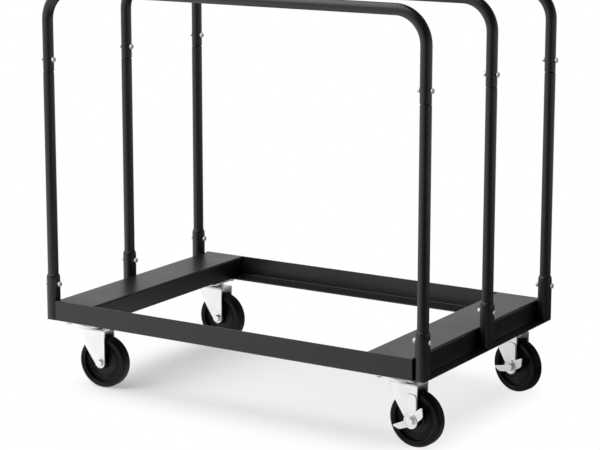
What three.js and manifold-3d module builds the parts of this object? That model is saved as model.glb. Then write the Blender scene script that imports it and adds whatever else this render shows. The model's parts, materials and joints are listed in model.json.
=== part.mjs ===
// Sheet goods cart: a low steel frame on four swivel casters with three bolted hoops.
// Millimetres, +Z up, +X along the cart, -Y its front. The floor is z = 0.

import * as THREE from 'three';
import { mergeVertices } from 'three/addons/utils/BufferGeometryUtils.js';
import Module from 'manifold-3d';

const wasm = await Module();
wasm.setup();

// Base frame
const FRAME_LENGTH = 996;
const FRAME_WIDTH = 658;
const FRAME_HEIGHT = 51;
const SHEET = 3;
const BEND_INSIDE = 1.5;
const RAIL_FLANGE = 58;
const DECK_WIDTH = 118;
const LEDGE_WIDTH = 28;
const PAD_LENGTH = 84;
const WELD_GAP = 0.3;

// Hoops
const TUBE_OD = 26.7;
const TUBE_WALL = 2.3;
const HOOP_HEIGHT = 776;
const HOOP_DROP = 212;
const HOOP_BEND = 75;
const NECK_LENGTH = 58;
const NECK_TAPER = 5;
const NECK_STEP = 1.4;
const NECK_WALL = 2;
const SLIDE_GAP = 0.3;

// Sockets
const SOCKET_GAP = 0.55;
const SOCKET_WALL = 2.8;
const SOCKET_HEIGHT = 62;
const SOCKET_LIP = 4;
const SOCKET_CRIMP = 2;

// Through-bolts
const BOLT_DIAMETER = 6.4;
const BOLT_HEX = 11.1;
const BOLT_HEAD = 4.3;
const BOLT_NUT = 5.6;
const BOLT_TAIL = 4;
const BOLT_GAP = 0.3;
const SOCKET_BOLT_HEIGHT = 38.5;
const HOOP_BOLT_ABOVE_SEAM = 28;

// Wheels
const WHEEL_DIAMETER = 132;
const WHEEL_WIDTH = 32;
const WHEEL_TOP_GAP = 12.9;
const TYRE_DEPTH = 11.5;
const TYRE_SHOULDER = 2.5;
const TYRE_CHAMFER = 2;
const CORE_RIM_WIDTH = 29;
const CORE_RIM_DEPTH = 5;
const CORE_RIM_DRAFT = 2;
const CORE_WEB = 9;
const CORE_BOSS_DIAMETER = 36;
const CORE_BOSS_TAPER = 3;
const HUB_GAP = 0.8;
const AXLE_DIAMETER = 12.5;
const AXLE_HEX = 17;
const AXLE_HEAD = 7;
const AXLE_NUT = 9;
const AXLE_TAIL = 3;

// Caster plates and swivels
const CASTER_FROM_END = 59;
const CASTER_FROM_SIDE = 68;
const CASTER_TRAIL = 38;
const PLATE_LENGTH = 114;
const PLATE_WIDTH = 102;
const PLATE_THICK = 5;
const PLATE_CORNER = 9;
const SLOT_LENGTH = 16;
const SLOT_WIDTH = 9.5;
const SLOT_FROM_END = 16;
const SLOT_FROM_SIDE = 15;
const RACE_DIAMETER = 62;
const UPPER_RACE = 7;
const CUP_DIAMETER = 68;
const CUP_BORE = 40;
const CUP_HEIGHT = 8.2;
const CUP_FLARE = 3;
const CUP_EDGE = 2;
const KINGPIN_DIAMETER = 18;
const KINGPIN_HEAD_DIAMETER = 27;
const KINGPIN_HEAD = 5;
const RUN_GAP = 0.4;

// Forks
const FORK_SHEET = 4;
const FORK_SIDE_GAP = 4;
const FORK_FRONT = 35.5;
const FORK_NOSE_START = 8;
const FORK_SKIRT = 8;
const FORK_SKIRT_LENGTH = 6;
const FORK_EDGE_ROUND = 4;
const LEG_END_RADIUS = 13;

// Brakes
const LEAF_THICK = 2;
const LEAF_TOP = 61;
const LEAF_BEHIND_AXLE = 12;
const LEAF_AHEAD_OF_AXLE = 12;
const LEAF_CORNER = 9;
const LEAF_FOOT_RADIUS = 12;
const LEVER_THICK = 3;
const LEVER_HUB_DIAMETER = 36;
const LEVER_RIM_WIDTH = 3;
const LEVER_RIM_HEIGHT = 2;
const WING_LENGTH = 49;
const WING_WIDTH = 20;
const WING_SLANT = 14;
const WING_CORNER = 4;
const WING_SPLAY = 8;
const WING_SWEEP = 8;

// How each caster stands, in degrees turned about its kingpin, and how far each lever leans back
const SWIVELS = { front_left: 4.4, rear_left: -2.6, front_right: -2.9, rear_right: -13.5 };
const LEVER_LEANS = { front_right: 31, rear_right: 19 };

// How fine the round pieces are
const WHEEL_FACETS = 20;
const TUBE_SIDES = 12;
const BEND_STEPS = 4;
const PIN_SIDES = 6;
const ARC_STEPS = 3;
const LIP_STEPS = 2;

// Levels inside a caster, measured from its top plate's upper face
const WHEEL_RADIUS = WHEEL_DIAMETER / 2;
const AXLE_Z = WHEEL_RADIUS * Math.cos(Math.PI / WHEEL_FACETS);
const RACE_BOTTOM = -(PLATE_THICK + UPPER_RACE);
const CROWN_TOP = RACE_BOTTOM - RUN_GAP - CUP_HEIGHT;
const CROWN_BOTTOM = CROWN_TOP - FORK_SHEET;
const AXLE_LEVEL = CROWN_BOTTOM - WHEEL_TOP_GAP - WHEEL_RADIUS;
const FORK_WIDTH = WHEEL_WIDTH + 2 * (FORK_SIDE_GAP + FORK_SHEET);
const FORK_TRAILING = CASTER_TRAIL + LEG_END_RADIUS;

// Levels and places that follow from the sizes above
const FRAME_Z = AXLE_Z - AXLE_LEVEL;
const DECK_Z = FRAME_Z + FRAME_HEIGHT;
const LEDGE_TOP = FRAME_Z + SHEET;
const HALF_LENGTH = FRAME_LENGTH / 2;
const HALF_WIDTH = FRAME_WIDTH / 2;
const CASTER_X = HALF_LENGTH - CASTER_FROM_END;
const CASTER_Y = HALF_WIDTH - CASTER_FROM_SIDE;
const TUBE_RADIUS = TUBE_OD / 2;
const NECK_RADIUS = TUBE_RADIUS - TUBE_WALL - SLIDE_GAP;
const SOCKET_BORE = TUBE_RADIUS + SOCKET_GAP;
const SOCKET_RADIUS = SOCKET_BORE + SOCKET_WALL;
const POST_X = HALF_LENGTH + SOCKET_RADIUS + WELD_GAP;
const POST_Y = HALF_WIDTH - SOCKET_RADIUS;
const SEAM_Z = DECK_Z + HOOP_HEIGHT - HOOP_DROP;
const SOCKET_BOLT_Z = DECK_Z + SOCKET_BOLT_HEIGHT;
const HOOP_BOLT_Z = SEAM_Z + HOOP_BOLT_ABOVE_SEAM;
const HOOP_BAR_Z = DECK_Z + HOOP_HEIGHT - TUBE_RADIUS;

// How far a cutting shape runs past what it cuts
const CUT_PAST = 1;
const MERGE_DISTANCE = 1e-3;

const powderCoat = new THREE.MeshStandardMaterial({ color: '#2b2b2d', roughness: 0.45, metalness: 0.1 });
const zinc = new THREE.MeshStandardMaterial({ color: '#d9dbde', roughness: 0.35, metalness: 0.85 });
const rubber = new THREE.MeshStandardMaterial({ color: '#161617', roughness: 0.7, metalness: 0 });
const plastic = new THREE.MeshStandardMaterial({ color: '#1c1c1e', roughness: 0.5, metalness: 0 });

// A closed geometry as a solid for joining and cutting.
function solidOf(geometry) {
  const bare = geometry.clone();
  bare.deleteAttribute('normal');
  bare.deleteAttribute('uv');
  const merged = mergeVertices(bare, MERGE_DISTANCE);
  const kept = [];
  const index = merged.index.array;
  for (let i = 0; i < index.length; i += 3) {
    const [a, b, c] = [index[i], index[i + 1], index[i + 2]];
    if (a !== b && b !== c && c !== a) kept.push(a, b, c);
  }
  return new wasm.Manifold(new wasm.Mesh({
    numProp: 3,
    vertProperties: new Float32Array(merged.attributes.position.array),
    triVerts: new Uint32Array(kept),
  }));
}

function geometryOf(solid) {
  const { vertProperties, triVerts } = solid.getMesh();
  const geometry = new THREE.BufferGeometry();
  geometry.setAttribute('position', new THREE.BufferAttribute(new Float32Array(vertProperties), 3));
  geometry.setIndex(new THREE.BufferAttribute(new Uint32Array(triVerts), 1));
  geometry.computeVertexNormals();
  return geometry;
}

function piece(name, solid, material) {
  const mesh = new THREE.Mesh(geometryOf(solid), material);
  mesh.name = name;
  return mesh;
}

const axisX = new THREE.Vector3(1, 0, 0);
const axisY = new THREE.Vector3(0, 1, 0);
const axisZ = new THREE.Vector3(0, 0, 1);

// A (y, z) outline drawn out along X, centred on x = 0.
function alongX(shape, length) {
  const geometry = new THREE.ExtrudeGeometry(shape, {
    depth: length, bevelEnabled: false, curveSegments: ARC_STEPS,
  });
  geometry.translate(0, 0, -length / 2);
  return geometry.applyMatrix4(new THREE.Matrix4().makeBasis(axisY, axisZ, axisX));
}

// An (x, z) outline drawn out along Y, centred on y = 0.
function alongY(shape, length) {
  const geometry = new THREE.ExtrudeGeometry(shape, {
    depth: length, bevelEnabled: false, curveSegments: ARC_STEPS,
  });
  geometry.translate(0, 0, -length / 2);
  return geometry.applyMatrix4(new THREE.Matrix4().makeBasis(axisX, axisZ, axisY.clone().negate()));
}

// An (x, y) outline drawn out upward from the level given.
function upright(shape, bottom, height) {
  const geometry = new THREE.ExtrudeGeometry(shape, {
    depth: height, bevelEnabled: false, curveSegments: ARC_STEPS,
  });
  return geometry.translate(0, 0, bottom);
}

// A profile of [radius, height] points turned about the Z axis.
function turnedZ(profile, sides) {
  const points = profile.map(([radius, height]) => new THREE.Vector2(radius, height));
  const geometry = new THREE.LatheGeometry(points, sides, Math.PI / sides);
  return geometry.rotateX(Math.PI / 2);
}

// A profile of [radius, y] points turned about the Y axis, with a flat of the facets downward.
function turnedY(profile, sides) {
  const points = profile.map(([radius, y]) => new THREE.Vector2(radius, y));
  return new THREE.LatheGeometry(points, sides, Math.PI / sides);
}

function pinAlongX(radius, from, to, sides = PIN_SIDES) {
  const geometry = new THREE.CylinderGeometry(radius, radius, to - from, sides);
  return geometry.rotateZ(-Math.PI / 2).translate((from + to) / 2, 0, 0);
}

function pinAlongY(radius, from, to, sides = PIN_SIDES) {
  const geometry = new THREE.CylinderGeometry(radius, radius, to - from, sides);
  return geometry.translate(0, (from + to) / 2, 0);
}

// A block between two x values, two y values and two z values, each pair in either order.
function box(...spans) {
  const sizes = spans.map(([from, to]) => Math.abs(to - from));
  const middles = spans.map(([from, to]) => (from + to) / 2);
  return new THREE.BoxGeometry(...sizes).translate(...middles);
}

const hexRadius = (acrossFlats) => acrossFlats / Math.sqrt(3);

// The cross-section of a bent sheet: a centre line of straight runs with a round bend at each corner.
function bentSheet(corners, thickness, bendInside) {
  const radius = bendInside + thickness / 2;
  const stations = [];
  corners.forEach((bend, i) => {
    const before = corners[i - 1];
    const after = corners[i + 1];
    if (!before || !after) {
      const run = before ? bend.clone().sub(before) : after.clone().sub(bend);
      stations.push({ at: bend, heading: run.angle() });
      return;
    }
    const into = bend.clone().sub(before).normalize();
    const out = after.clone().sub(bend).normalize();
    const turn = Math.atan2(into.cross(out), into.dot(out));
    const start = bend.clone().addScaledVector(into, -radius * Math.tan(Math.abs(turn) / 2));
    const side = new THREE.Vector2(-into.y, into.x).multiplyScalar(Math.sign(turn));
    const centre = start.clone().addScaledVector(side, radius);
    for (let step = 0; step <= ARC_STEPS; step += 1) {
      const swept = (turn * step) / ARC_STEPS;
      const at = start.clone().rotateAround(centre, swept);
      stations.push({ at, heading: into.angle() + swept });
    }
  });
  const offset = (distance) => ({ at, heading }) =>
    new THREE.Vector2(-Math.sin(heading), Math.cos(heading)).multiplyScalar(distance).add(at);
  const left = stations.map(offset(thickness / 2));
  const right = stations.map(offset(-thickness / 2));
  return new THREE.Shape([...left, ...right.reverse()]);
}

const corner = (x, y) => new THREE.Vector2(x, y);

// A side rail: upright web outside, flange turned inward, its ends coped clear of the end webs.
function railSolid(facing) {
  const web = facing * (HALF_WIDTH - SHEET / 2);
  const flangeEdge = facing * (HALF_WIDTH - RAIL_FLANGE);
  const angle = bentSheet([
    corner(web, DECK_Z),
    corner(web, FRAME_Z + SHEET / 2),
    corner(flangeEdge, FRAME_Z + SHEET / 2),
  ], SHEET, BEND_INSIDE);
  let rail = solidOf(alongX(angle, FRAME_LENGTH));
  const flange = [flangeEdge - facing * CUT_PAST, facing * (HALF_WIDTH - SHEET - WELD_GAP)];
  for (const end of [-1, 1]) {
    const coped = [end * (HALF_LENGTH - SHEET - WELD_GAP), end * (HALF_LENGTH + CUT_PAST)];
    rail = rail.subtract(solidOf(box(coped, flange, [FRAME_Z - CUT_PAST, LEDGE_TOP + CUT_PAST])));
  }
  return rail;
}

// An end deck: inner flange, top plate, outer web and the ledge that the sockets stand on.
// The inner flange is relieved at its ends where the rails bend.
function deckSolid(end) {
  const inner = end * (HALF_LENGTH - DECK_WIDTH + SHEET / 2);
  const outer = end * (HALF_LENGTH - SHEET / 2);
  const section = bentSheet([
    corner(inner, LEDGE_TOP),
    corner(inner, DECK_Z - SHEET / 2),
    corner(outer, DECK_Z - SHEET / 2),
    corner(outer, FRAME_Z + SHEET / 2),
    corner(end * (HALF_LENGTH + LEDGE_WIDTH), FRAME_Z + SHEET / 2),
  ], SHEET, BEND_INSIDE);
  let deck = solidOf(alongY(section, FRAME_WIDTH - 2 * (SHEET + WELD_GAP)));
  const relief = HALF_WIDTH - SHEET - BEND_INSIDE - WELD_GAP;
  const reliefTop = LEDGE_TOP + BEND_INSIDE + WELD_GAP;
  for (const side of [-1, 1]) {
    const cut = box([inner - SHEET, inner + SHEET], [side * relief, side * HALF_WIDTH], [FRAME_Z, reliefTop]);
    deck = deck.subtract(solidOf(cut));
  }
  return deck;
}

// A flat pad under a deck that carries the inner half of a caster plate.
function padSolid(end, side) {
  const across = [end * (HALF_LENGTH - DECK_WIDTH), end * (HALF_LENGTH - SHEET - WELD_GAP)];
  const flangeEdge = HALF_WIDTH - RAIL_FLANGE - WELD_GAP;
  const along = [side * flangeEdge, side * (flangeEdge - PAD_LENGTH)];
  return solidOf(box(across, along, [FRAME_Z, LEDGE_TOP]));
}

function boltHole(z, reach) {
  const radius = (BOLT_DIAMETER / 2 + BOLT_GAP) / Math.cos(Math.PI / PIN_SIDES);
  return solidOf(pinAlongX(radius, -reach, reach).translate(0, 0, z));
}

// A socket tube with a chamfered foot and a rolled lip.
function socketSolid() {
  const top = DECK_Z + SOCKET_HEIGHT;
  const foot = BEND_INSIDE + WELD_GAP;
  const lip = [];
  for (let step = 0; step <= LIP_STEPS; step += 1) {
    const angle = (Math.PI / 2) * (step / LIP_STEPS);
    const radius = SOCKET_RADIUS - SOCKET_CRIMP * (1 - Math.cos(angle));
    lip.push([radius, top - SOCKET_LIP * (1 - Math.sin(angle))]);
  }
  const profile = [
    [SOCKET_BORE, LEDGE_TOP],
    [SOCKET_RADIUS - foot, LEDGE_TOP],
    [SOCKET_RADIUS, LEDGE_TOP + foot],
    ...lip,
    [SOCKET_BORE, top],
    [SOCKET_BORE, LEDGE_TOP],
  ];
  return solidOf(turnedZ(profile, TUBE_SIDES)).subtract(boltHole(SOCKET_BOLT_Z, 2 * SOCKET_RADIUS));
}

// A leg: a straight tube whose drawn-in neck goes up into the hoop above.
function legSolid() {
  const bore = TUBE_RADIUS - TUBE_WALL;
  const taperFrom = SEAM_Z - NECK_TAPER;
  const shoulder = SEAM_Z - SLIDE_GAP;
  const top = SEAM_Z + NECK_LENGTH;
  const profile = [
    [bore, LEDGE_TOP],
    [TUBE_RADIUS, LEDGE_TOP],
    [TUBE_RADIUS, taperFrom],
    [TUBE_RADIUS - NECK_STEP, shoulder],
    [NECK_RADIUS, shoulder],
    [NECK_RADIUS, top],
    [NECK_RADIUS - NECK_WALL, top],
    [bore, taperFrom],
    [bore, LEDGE_TOP],
  ];
  return solidOf(turnedZ(profile, TUBE_SIDES))
    .subtract(boltHole(SOCKET_BOLT_Z, TUBE_OD))
    .subtract(boltHole(HOOP_BOLT_Z, TUBE_OD));
}

// The centre line of a hoop's upper tube, stepped only where it bends.
class HoopLine extends THREE.Curve {
  constructor() {
    super();
    const shoulder = HOOP_BAR_Z - HOOP_BEND;
    const inside = POST_X - HOOP_BEND;
    this.stations = [{ at: new THREE.Vector3(-POST_X, 0, SEAM_Z), heading: Math.PI / 2 }];
    for (const end of [-1, 1]) {
      for (let step = 0; step <= BEND_STEPS; step += 1) {
        const swept = (Math.PI / 2) * (step / BEND_STEPS);
        const heading = end < 0 ? Math.PI / 2 - swept : -swept;
        const out = heading + Math.PI / 2;
        const at = new THREE.Vector3(end * inside, 0, shoulder);
        at.x += HOOP_BEND * Math.cos(out);
        at.z += HOOP_BEND * Math.sin(out);
        this.stations.push({ at, heading });
      }
    }
    this.stations.push({ at: new THREE.Vector3(POST_X, 0, SEAM_Z), heading: -Math.PI / 2 });
  }

  get steps() {
    return this.stations.length - 1;
  }

  getUtoTmapping(u) {
    return u;
  }

  getPoint(t, target = new THREE.Vector3()) {
    return target.copy(this.stations[Math.round(t * this.steps)].at);
  }

  getTangent(t, target = new THREE.Vector3()) {
    const { heading } = this.stations[Math.round(t * this.steps)];
    return target.set(Math.cos(heading), 0, Math.sin(heading));
  }
}

// A ring section whose flats line up with those of the legs.
function ringShape(outer, inner, sides) {
  const ring = (radius) => Array.from({ length: sides }, (_, i) => {
    const angle = (2 * Math.PI * (i + 0.5)) / sides;
    return corner(radius * Math.cos(angle), radius * Math.sin(angle));
  });
  const shape = new THREE.Shape(ring(outer));
  shape.holes.push(new THREE.Path(ring(inner)));
  return shape;
}

function hoopSolid() {
  const line = new HoopLine();
  const section = ringShape(TUBE_RADIUS, TUBE_RADIUS - TUBE_WALL, TUBE_SIDES);
  const tube = new THREE.ExtrudeGeometry(section, { steps: line.steps, extrudePath: line });
  let hoop = solidOf(tube);
  for (const end of [-1, 1]) {
    hoop = hoop.subtract(boltHole(HOOP_BOLT_Z, TUBE_OD).translate([end * POST_X, 0, 0]));
  }
  return hoop;
}

// A hex bolt and its nut through a tube, head toward +X.
function boltSolid(tubeRadius) {
  const seat = tubeRadius + BOLT_GAP;
  const tail = -(seat + BOLT_NUT + BOLT_TAIL);
  const shank = solidOf(pinAlongX(BOLT_DIAMETER / 2, tail, seat + BOLT_HEAD / 2));
  const head = solidOf(pinAlongX(hexRadius(BOLT_HEX), seat, seat + BOLT_HEAD, 6));
  const nut = solidOf(pinAlongX(hexRadius(BOLT_HEX), -(seat + BOLT_NUT), -seat, 6));
  return shank.add(head).add(nut);
}

function roundedRect(width, height, radius) {
  const [x, y] = [width / 2, height / 2];
  const shape = new THREE.Shape();
  shape.moveTo(-x + radius, -y);
  shape.absarc(x - radius, -y + radius, radius, -Math.PI / 2, 0);
  shape.absarc(x - radius, y - radius, radius, 0, Math.PI / 2);
  shape.absarc(-x + radius, y - radius, radius, Math.PI / 2, Math.PI);
  shape.absarc(-x + radius, -y + radius, radius, Math.PI, 1.5 * Math.PI);
  return shape;
}

// A caster's top plate with its slots, upper race and headed kingpin.
function plateSolid() {
  const outline = roundedRect(PLATE_LENGTH, PLATE_WIDTH, PLATE_CORNER);
  for (const sx of [-1, 1]) {
    for (const sy of [-1, 1]) {
      const slot = new THREE.Path();
      const x = sx * (PLATE_LENGTH / 2 - SLOT_FROM_END);
      const y = sy * (PLATE_WIDTH / 2 - SLOT_FROM_SIDE);
      const reach = (SLOT_LENGTH - SLOT_WIDTH) / 2;
      slot.absarc(x + reach, y, SLOT_WIDTH / 2, -Math.PI / 2, Math.PI / 2);
      slot.absarc(x - reach, y, SLOT_WIDTH / 2, Math.PI / 2, 1.5 * Math.PI);
      outline.holes.push(slot);
    }
  }
  const plate = solidOf(upright(outline, -PLATE_THICK, PLATE_THICK));
  const [race, pin, head] = [RACE_DIAMETER / 2, KINGPIN_DIAMETER / 2, KINGPIN_HEAD_DIAMETER / 2];
  const headTop = CROWN_BOTTOM - RUN_GAP;
  const swivel = turnedZ([
    [0, headTop - KINGPIN_HEAD],
    [pin, headTop - KINGPIN_HEAD],
    [head, headTop],
    [pin, headTop],
    [pin, RACE_BOTTOM],
    [race, RACE_BOTTOM],
    [race, -PLATE_THICK / 2],
    [0, -PLATE_THICK / 2],
  ], TUBE_SIDES);
  return plate.add(solidOf(swivel));
}

// The fork's outline from above: straight sides and a round nose, open at the trailing end.
function forkPlan(inset, trailing) {
  const half = FORK_WIDTH / 2 - inset;
  const nose = FORK_FRONT + FORK_NOSE_START - inset;
  const shape = new THREE.Shape();
  shape.moveTo(FORK_NOSE_START, -half);
  shape.lineTo(trailing, -half);
  shape.lineTo(trailing, half);
  shape.lineTo(FORK_NOSE_START, half);
  shape.absellipse(FORK_NOSE_START, 0, nose, half, Math.PI / 2, 1.5 * Math.PI);
  return shape;
}

// The fork's outline from the side: upright trailing edge, round leg end and slanted leading edge.
function forkSide() {
  const nose = -FORK_FRONT - CUT_PAST;
  const skirt = new THREE.Vector2(FORK_SKIRT_LENGTH - FORK_FRONT, CROWN_TOP - FORK_SKIRT);
  const toSkirt = skirt.clone().sub(corner(CASTER_TRAIL, AXLE_LEVEL));
  const tangent = toSkirt.angle() + Math.acos(LEG_END_RADIUS / toSkirt.length());
  const shape = new THREE.Shape();
  shape.moveTo(FORK_TRAILING, CROWN_TOP + CUT_PAST);
  shape.lineTo(nose, CROWN_TOP + CUT_PAST);
  shape.lineTo(nose, skirt.y);
  shape.lineTo(skirt.x, skirt.y);
  shape.absarc(CASTER_TRAIL, AXLE_LEVEL, LEG_END_RADIUS, tangent, 2 * Math.PI);
  return shape;
}

// The lower race: a flared cup standing on the fork's crown.
function cupSolid() {
  const [cup, bore] = [CUP_DIAMETER / 2, CUP_BORE / 2];
  const [bottom, rim] = [CROWN_TOP - FORK_SHEET / 2, CROWN_TOP + CUP_HEIGHT];
  return solidOf(turnedZ([
    [bore, bottom],
    [FORK_WIDTH / 2 - FORK_EDGE_ROUND, bottom],
    [cup, CROWN_TOP + CUP_FLARE],
    [cup, rim - CUP_EDGE],
    [cup - CUP_EDGE, rim],
    [bore, rim],
    [bore, bottom],
  ], TUBE_SIDES));
}

// A pressed fork: a rounded crown with two legs, the race cup on top and holes for pin and axle.
function forkSolid() {
  const drop = CROWN_TOP - AXLE_LEVEL + 2 * LEG_END_RADIUS;
  const skin = new THREE.ExtrudeGeometry(forkPlan(0, FORK_TRAILING + 2 * FORK_EDGE_ROUND), {
    depth: drop - 2 * FORK_EDGE_ROUND, curveSegments: 2 * ARC_STEPS, bevelSegments: 2,
    bevelThickness: FORK_EDGE_ROUND, bevelSize: FORK_EDGE_ROUND, bevelOffset: -FORK_EDGE_ROUND,
  });
  skin.translate(0, 0, CROWN_TOP - drop + FORK_EDGE_ROUND);
  const hollow = new THREE.ExtrudeGeometry(forkPlan(FORK_SHEET, 2 * FORK_TRAILING), {
    depth: drop, bevelEnabled: false, curveSegments: 2 * ARC_STEPS,
  });
  hollow.translate(0, 0, CROWN_BOTTOM - drop);
  const pinRadius = KINGPIN_DIAMETER / 2 + RUN_GAP;
  const pinHole = turnedZ([
    [0, CROWN_BOTTOM - CUT_PAST],
    [pinRadius, CROWN_BOTTOM - CUT_PAST],
    [pinRadius, CROWN_TOP + CUT_PAST],
    [0, CROWN_TOP + CUT_PAST],
  ], TUBE_SIDES);
  return solidOf(skin)
    .subtract(solidOf(hollow))
    .intersect(solidOf(alongY(forkSide(), FORK_WIDTH + 2 * CUT_PAST)))
    .add(cupSolid())
    .subtract(solidOf(pinHole))
    .subtract(axleHole().translate([CASTER_TRAIL, 0, AXLE_LEVEL]));
}

const TYRE_BORE = WHEEL_RADIUS - TYRE_DEPTH;

function tyreSolid() {
  const half = WHEEL_WIDTH / 2;
  return solidOf(turnedY([
    [TYRE_BORE, TYRE_CHAMFER - half],
    [TYRE_BORE + TYRE_CHAMFER, -half],
    [WHEEL_RADIUS - TYRE_SHOULDER, -half],
    [WHEEL_RADIUS, TYRE_SHOULDER - half],
    [WHEEL_RADIUS, half - TYRE_SHOULDER],
    [WHEEL_RADIUS - TYRE_SHOULDER, half],
    [TYRE_BORE + TYRE_CHAMFER, half],
    [TYRE_BORE, half - TYRE_CHAMFER],
    [TYRE_BORE, TYRE_CHAMFER - half],
  ], WHEEL_FACETS));
}

// The wheel's core: a rim, a thin web and a tapered boss that runs between the fork's legs.
function coreSolid() {
  const outer = TYRE_BORE - SLIDE_GAP;
  const rim = outer - CORE_RIM_DEPTH;
  const bore = AXLE_DIAMETER / 2 + SLIDE_GAP;
  const boss = CORE_BOSS_DIAMETER / 2;
  const [rimHalf, webHalf] = [CORE_RIM_WIDTH / 2, CORE_WEB / 2];
  const bossHalf = FORK_WIDTH / 2 - FORK_SHEET - HUB_GAP;
  return solidOf(turnedY([
    [bore, -bossHalf],
    [boss - CORE_BOSS_TAPER, -bossHalf],
    [boss, -webHalf],
    [rim, -webHalf],
    [rim + CORE_RIM_DRAFT, -rimHalf],
    [outer, -rimHalf],
    [outer, rimHalf],
    [rim + CORE_RIM_DRAFT, rimHalf],
    [rim, webHalf],
    [boss, webHalf],
    [boss - CORE_BOSS_TAPER, bossHalf],
    [bore, bossHalf],
    [bore, -bossHalf],
  ], WHEEL_FACETS));
}

// The axle bolt, head toward -Y, seated outside whatever is stacked on the near leg.
function axleSolid(stack) {
  const seat = FORK_WIDTH / 2 + BOLT_GAP;
  const near = -(seat + stack);
  const shank = solidOf(pinAlongY(AXLE_DIAMETER / 2, near - AXLE_HEAD / 2, seat + AXLE_NUT + AXLE_TAIL));
  const head = solidOf(pinAlongY(hexRadius(AXLE_HEX), near - AXLE_HEAD, near, 6));
  const nut = solidOf(pinAlongY(hexRadius(AXLE_HEX), seat, seat + AXLE_NUT, 6));
  return shank.add(head).add(nut);
}

const LEAF_FACE = -(FORK_WIDTH / 2 + BOLT_GAP);
const LEVER_FACE = LEAF_FACE - LEAF_THICK - BOLT_GAP;
const BRAKE_STACK = LEAF_THICK + LEVER_THICK + 2 * BOLT_GAP;

function axleHole() {
  const radius = (AXLE_DIAMETER / 2 + SLIDE_GAP) / Math.cos(Math.PI / PIN_SIDES);
  return solidOf(pinAlongY(radius, -FORK_WIDTH, FORK_WIDTH));
}

// The pressure leaf: a strip up the near leg with one rounded upper corner and a round foot.
function leafSolid() {
  const [back, front] = [-LEAF_BEHIND_AXLE, LEAF_AHEAD_OF_AXLE];
  const shape = new THREE.Shape();
  shape.moveTo(front, 0);
  shape.absarc(front - LEAF_CORNER, LEAF_TOP - LEAF_CORNER, LEAF_CORNER, 0, Math.PI / 2);
  shape.lineTo(back, LEAF_TOP);
  shape.lineTo(back, LEAF_FOOT_RADIUS);
  shape.absarc(0, 0, LEAF_FOOT_RADIUS, Math.PI, 2 * Math.PI);
  const leaf = alongY(shape, LEAF_THICK).translate(0, LEAF_FACE - LEAF_THICK / 2, 0);
  return solidOf(leaf).subtract(axleHole());
}

// A wing of the brake lever toward +X: a tab with a slanted, rounded end, swept up and splayed off
// the fork.
function wingSolid() {
  const half = WING_WIDTH / 2;
  const shape = new THREE.Shape();
  shape.moveTo(0, -half);
  shape.lineTo(WING_LENGTH - WING_SLANT - WING_CORNER, -half);
  shape.quadraticCurveTo(WING_LENGTH - WING_SLANT, -half, WING_LENGTH - WING_SLANT / 2, 0);
  shape.lineTo(WING_LENGTH - WING_CORNER / 2, half - WING_CORNER);
  shape.quadraticCurveTo(WING_LENGTH, half, WING_LENGTH - WING_CORNER, half);
  shape.lineTo(0, half);
  const hinge = LEVER_HUB_DIAMETER / 2 - LEVER_THICK;
  const wing = alongY(shape, LEVER_THICK).translate(-hinge, 0, 0);
  wing.rotateZ(THREE.MathUtils.degToRad(-WING_SPLAY)).translate(hinge, LEVER_FACE - LEVER_THICK / 2, 0);
  const outside = box([hinge, 2 * WING_LENGTH], [-FORK_WIDTH, LEVER_FACE], [-WING_WIDTH, WING_WIDTH]);
  return solidOf(wing).intersect(solidOf(outside)).rotate([0, -WING_SWEEP, 0]);
}

// The brake lever: two like wings on a dished round hub, leaning by the angle given.
function leverSolid(lean) {
  const outside = LEVER_FACE - LEVER_THICK;
  const rim = LEVER_HUB_DIAMETER / 2;
  const hub = turnedY([
    [0, outside],
    [rim - LEVER_RIM_WIDTH, outside],
    [rim - LEVER_RIM_WIDTH, outside - LEVER_RIM_HEIGHT],
    [rim, outside - LEVER_RIM_HEIGHT],
    [rim, LEVER_FACE],
    [0, LEVER_FACE],
  ], TUBE_SIDES);
  return solidOf(hub)
    .add(wingSolid())
    .add(wingSolid().mirror([1, 0, 0]))
    .subtract(axleHole())
    .rotate([0, -lean, 0]);
}

const cart = new THREE.Group();

// Base frame
cart.add(piece('front_rail', railSolid(-1), powderCoat));
cart.add(piece('rear_rail', railSolid(1), powderCoat));
cart.add(piece('left_deck', deckSolid(-1), powderCoat));
cart.add(piece('right_deck', deckSolid(1), powderCoat));

// Hoops with their legs, sockets and bolts
const ends = { left: -1, right: 1 };
const rows = { front: -POST_Y, middle: 0, rear: POST_Y };
const boltPlaces = {
  socket: { z: SOCKET_BOLT_Z, radius: SOCKET_RADIUS },
  hoop: { z: HOOP_BOLT_Z, radius: TUBE_RADIUS },
};
for (const [row, y] of Object.entries(rows)) {
  const hoop = new THREE.Group();
  hoop.position.y = y;
  hoop.add(piece(`${row}_hoop`, hoopSolid(), powderCoat));
  for (const [end, side] of Object.entries(ends)) {
    const post = new THREE.Group();
    post.position.x = side * POST_X;
    post.add(piece(`${row}_${end}_socket`, socketSolid(), powderCoat));
    post.add(piece(`${row}_${end}_leg`, legSolid(), powderCoat));
    for (const [place, { z, radius }] of Object.entries(boltPlaces)) {
      const bolt = piece(`${row}_${end}_${place}_bolt`, boltSolid(radius), zinc);
      bolt.position.z = z;
      bolt.rotation.z = side < 0 ? Math.PI : 0;
      post.add(bolt);
    }
    hoop.add(post);
  }
  cart.add(hoop);
}

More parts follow.
